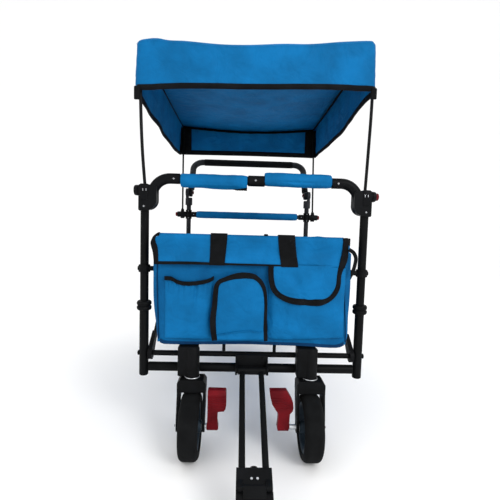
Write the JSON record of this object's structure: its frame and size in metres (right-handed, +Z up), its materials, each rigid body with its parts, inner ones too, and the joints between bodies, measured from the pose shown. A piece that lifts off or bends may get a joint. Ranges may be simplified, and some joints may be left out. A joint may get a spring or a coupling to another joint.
{
  "type": "folding wagon",
  "caption": "Folding push and pull wagon: scissor-folding steel frame, fabric basket with organiser bag, fabric canopy, swivel casters with brakes and a folding pull handle.",
  "frame": {"origin": "on the ground, below the middle of the whole object as it stands open", "axes": "+X across the wagon, +Y from its front (pull handle) to its rear (push handle), +Z up"},
  "size_m": [0.6434, 1.3742, 0.9755],
  "materials": {
    "black_paint": "satin black powder coat on steel tube and bar",
    "black_plastic": "fine moulded grain",
    "tyre_rubber": "matt black tread rubber",
    "grey_rim": "satin dark grey moulding",
    "red_plastic": "satin dark red moulding",
    "blue_fabric": "plain woven polyester with black bound edges",
    "bright_steel": "small bright screws, rings and cup edges"
  },
  "bodies": {
    "front_frame": {"front_post_left": "black_paint", "front_post_right": "black_paint", "front_crossbar": "black_paint", "caster_bracket_left": "black_plastic", "caster_bracket_right": "black_plastic", "handle_elbow_left": "black_plastic", "handle_elbow_right": "black_plastic", "handle_bar": "black_paint", "handle_grip_left": "blue_fabric", "handle_grip_right": "blue_fabric", "pull_bracket": "black_plastic", "basket_front": "blue_fabric", "organiser": "blue_fabric", "basket_tub": "blue_fabric"},
    "rear_frame": {"rear_post_left": "black_paint", "rear_post_right": "black_paint", "rear_crossbar": "black_paint", "rear_fork_left": "black_plastic", "rear_fork_right": "black_plastic", "rear_bar": "black_plastic", "rear_bar_sleeve": "blue_fabric", "basket_rear": "blue_fabric"},
    "outer_arms_1": {"outer_arms_1": "black_paint"},
    "inner_arms_1": {"inner_arm_1_left": "black_paint", "inner_arm_1_right": "black_paint"},
    "outer_arms_2": {"outer_arms_2": "black_paint"},
    "inner_arms_2": {"inner_arm_2_left": "black_paint", "inner_arm_2_right": "black_paint"},
    "outer_arms_3": {"outer_arms_3": "black_paint"},
    "inner_arms_3": {"inner_arms_3": "black_paint"},
    "front_collars": {"front_collar_left": "black_plastic", "front_collar_right": "black_plastic"},
    "rear_collars": {"rear_collar_left": "black_plastic", "rear_collar_right": "black_plastic"},
    "caster_left": {"caster_fork_left": "black_plastic"},
    "caster_right": {"caster_fork_right": "black_plastic"},
    "front_wheel_left": {"front_wheel_left_rim": "grey_rim", "front_wheel_left_tyre": "tyre_rubber"},
    "front_wheel_right": {"front_wheel_right_rim": "grey_rim", "front_wheel_right_tyre": "tyre_rubber"},
    "brake_left": {"brake_pedal_left": "red_plastic"},
    "brake_right": {"brake_pedal_right": "red_plastic"},
    "rear_wheel_left": {"rear_wheel_left": "tyre_rubber"},
    "rear_wheel_right": {"rear_wheel_right": "tyre_rubber"},
    "canopy_front": {"front_pole_left": "black_paint", "front_pole_right": "black_paint", "canopy": "blue_fabric"},
    "canopy_rear": {"rear_pole_left": "black_paint", "rear_pole_right": "black_paint"},
    "push_handle": {"push_handle": "black_paint"},
    "push_lock_left": {"push_lock_left": "red_plastic"},
    "push_lock_right": {"push_lock_right": "red_plastic"},
    "pull_upper": {"pull_arm_upper": "black_paint"},
    "pull_lower": {"pull_arm_lower": "black_paint", "pull_grip": "black_plastic"},
    "front_pole_button_left": {"front_pole_button_left": "red_plastic"},
    "front_pole_button_right": {"front_pole_button_right": "red_plastic"},
    "rear_pole_button_left": {"rear_pole_button_left": "red_plastic"},
    "rear_pole_button_right": {"rear_pole_button_right": "red_plastic"}
  },
  "joints": [
    {"name": "fold", "type": "hinge", "parent": "front_frame", "child": "outer_arms_1", "pos_m": [0, -0.256, 0.2315], "axis": [1, 0, 0], "range_deg": [0, 29.5], "deforming": ["canopy", "basket_tub"]},
    {"name": "inner_1_cross", "type": "hinge", "parent": "outer_arms_1", "child": "inner_arms_1", "pos_m": [0, -0.1185, 0.3355], "axis": [1, 0, 0], "range_deg": [-59, 0]},
    {"name": "inner_2_upper", "type": "hinge", "parent": "outer_arms_1", "child": "inner_arms_2", "pos_m": [0, 0.019, 0.4395], "axis": [1, 0, 0], "range_deg": [-59, 0]},
    {"name": "outer_2_lower", "type": "hinge", "parent": "inner_arms_1", "child": "outer_arms_2", "pos_m": [0, 0.019, 0.2315], "axis": [1, 0, 0], "range_deg": [0, 59]},
    {"name": "inner_3_upper", "type": "hinge", "parent": "outer_arms_2", "child": "inner_arms_3", "pos_m": [0, 0.294, 0.4395], "axis": [1, 0, 0], "range_deg": [-59, 0]},
    {"name": "outer_3_cross", "type": "hinge", "parent": "inner_arms_3", "child": "outer_arms_3", "pos_m": [0, 0.4315, 0.3355], "axis": [1, 0, 0], "range_deg": [0, 59]},
    {"name": "rear_lower", "type": "hinge", "parent": "inner_arms_3", "child": "rear_frame", "pos_m": [0, 0.569, 0.2315], "axis": [1, 0, 0], "range_deg": [0, 29.5]},
    {"name": "front_collar_pivot", "type": "hinge", "parent": "inner_arms_1", "child": "front_collars", "pos_m": [0, -0.256, 0.4395], "axis": [1, 0, 0], "range_deg": [0, 29.5]},
    {"name": "rear_collar_pivot", "type": "hinge", "parent": "outer_arms_3", "child": "rear_collars", "pos_m": [0, 0.569, 0.4395], "axis": [1, 0, 0], "range_deg": [-29.5, 0]},
    {"name": "canopy_lift_front", "type": "slide", "parent": "front_frame", "child": "canopy_front", "axis": [0, 0, 1], "range_m": [0, 0.02]},
    {"name": "canopy_lift_rear", "type": "slide", "parent": "rear_frame", "child": "canopy_rear", "axis": [0, 0, 1], "range_m": [0, 0.02]},
    {"name": "caster_left_swivel", "type": "hinge", "parent": "front_frame", "child": "caster_left", "pos_m": [-0.141, -0.29, 0.186], "axis": [0, 0, 1], "continuous": true},
    {"name": "caster_right_swivel", "type": "hinge", "parent": "front_frame", "child": "caster_right", "pos_m": [0.141, -0.29, 0.186], "axis": [0, 0, 1], "continuous": true},
    {"name": "front_wheel_left_spin", "type": "hinge", "parent": "caster_left", "child": "front_wheel_left", "pos_m": [-0.141, -0.311, 0.0762], "axis": [1, 0, 0], "continuous": true},
    {"name": "front_wheel_right_spin", "type": "hinge", "parent": "caster_right", "child": "front_wheel_right", "pos_m": [0.141, -0.311, 0.0762], "axis": [1, 0, 0], "continuous": true},
    {"name": "brake_left_press", "type": "hinge", "parent": "caster_left", "child": "brake_left", "pos_m": [-0.141, -0.311, 0.0762], "axis": [1, 0, 0], "range_deg": [0, 20]},
    {"name": "brake_right_press", "type": "hinge", "parent": "caster_right", "child": "brake_right", "pos_m": [0.141, -0.311, 0.0762], "axis": [1, 0, 0], "range_deg": [0, 20]},
    {"name": "rear_wheel_left_spin", "type": "hinge", "parent": "rear_frame", "child": "rear_wheel_left", "pos_m": [-0.205, 0.609, 0.0762], "axis": [1, 0, 0], "continuous": true},
    {"name": "rear_wheel_right_spin", "type": "hinge", "parent": "rear_frame", "child": "rear_wheel_right", "pos_m": [0.205, 0.609, 0.0762], "axis": [1, 0, 0], "continuous": true},
    {"name": "push_tilt", "type": "hinge", "parent": "rear_frame", "child": "push_handle", "pos_m": [0, 0.574, 0.675], "axis": [1, 0, 0], "range_deg": [-95, 25]},
    {"name": "push_lock_left_press", "type": "slide", "parent": "push_handle", "child": "push_lock_left", "axis": [-1, 0, 0], "range_m": [0, 0.0025], "stiffness_N_per_m": 400},
    {"name": "push_lock_right_press", "type": "slide", "parent": "push_handle", "child": "push_lock_right", "axis": [1, 0, 0], "range_m": [0, 0.0025], "stiffness_N_per_m": 400},
    {"name": "pull_pivot", "type": "hinge", "parent": "front_frame", "child": "pull_upper", "pos_m": [0, -0.292, 0.2035], "axis": [-1, 0, 0], "range_deg": [0, 70]},
    {"name": "pull_fold", "type": "hinge", "parent": "pull_upper", "child": "pull_lower", "pos_m": [0, -0.54838, 0.09188], "axis": [-1, 0, 0], "range_deg": [0, 150]},
    {"name": "front_pole_button_left_press", "type": "slide", "parent": "front_frame", "child": "front_pole_button_left", "axis": [1, 0, 0], "range_m": [0, 0.003], "stiffness_N_per_m": 400},
    {"name": "front_pole_button_right_press", "type": "slide", "parent": "front_frame", "child": "front_pole_button_right", "axis": [-1, 0, 0], "range_m": [0, 0.003], "stiffness_N_per_m": 400},
    {"name": "rear_pole_button_left_press", "type": "slide", "parent": "rear_frame", "child": "rear_pole_button_left", "axis": [1, 0, 0], "range_m": [0, 0.003], "stiffness_N_per_m": 400},
    {"name": "rear_pole_button_right_press", "type": "slide", "parent": "rear_frame", "child": "rear_pole_button_right", "axis": [-1, 0, 0], "range_m": [0, 0.003], "stiffness_N_per_m": 400}
  ],
  "couplings": [
    {"joint": "inner_1_cross", "follows": "fold", "ratio": -2},
    {"joint": "inner_2_upper", "follows": "fold", "ratio": -2},
    {"joint": "outer_2_lower", "follows": "fold", "ratio": 2},
    {"joint": "inner_3_upper", "follows": "fold", "ratio": -2},
    {"joint": "outer_3_cross", "follows": "fold", "ratio": 2},
    {"joint": "rear_lower", "follows": "fold", "ratio": 1},
    {"joint": "front_collar_pivot", "follows": "fold", "ratio": 1},
    {"joint": "rear_collar_pivot", "follows": "fold", "ratio": -1},
    {"joint": "canopy_lift_rear", "follows": "canopy_lift_front", "ratio": 1}
  ]
}
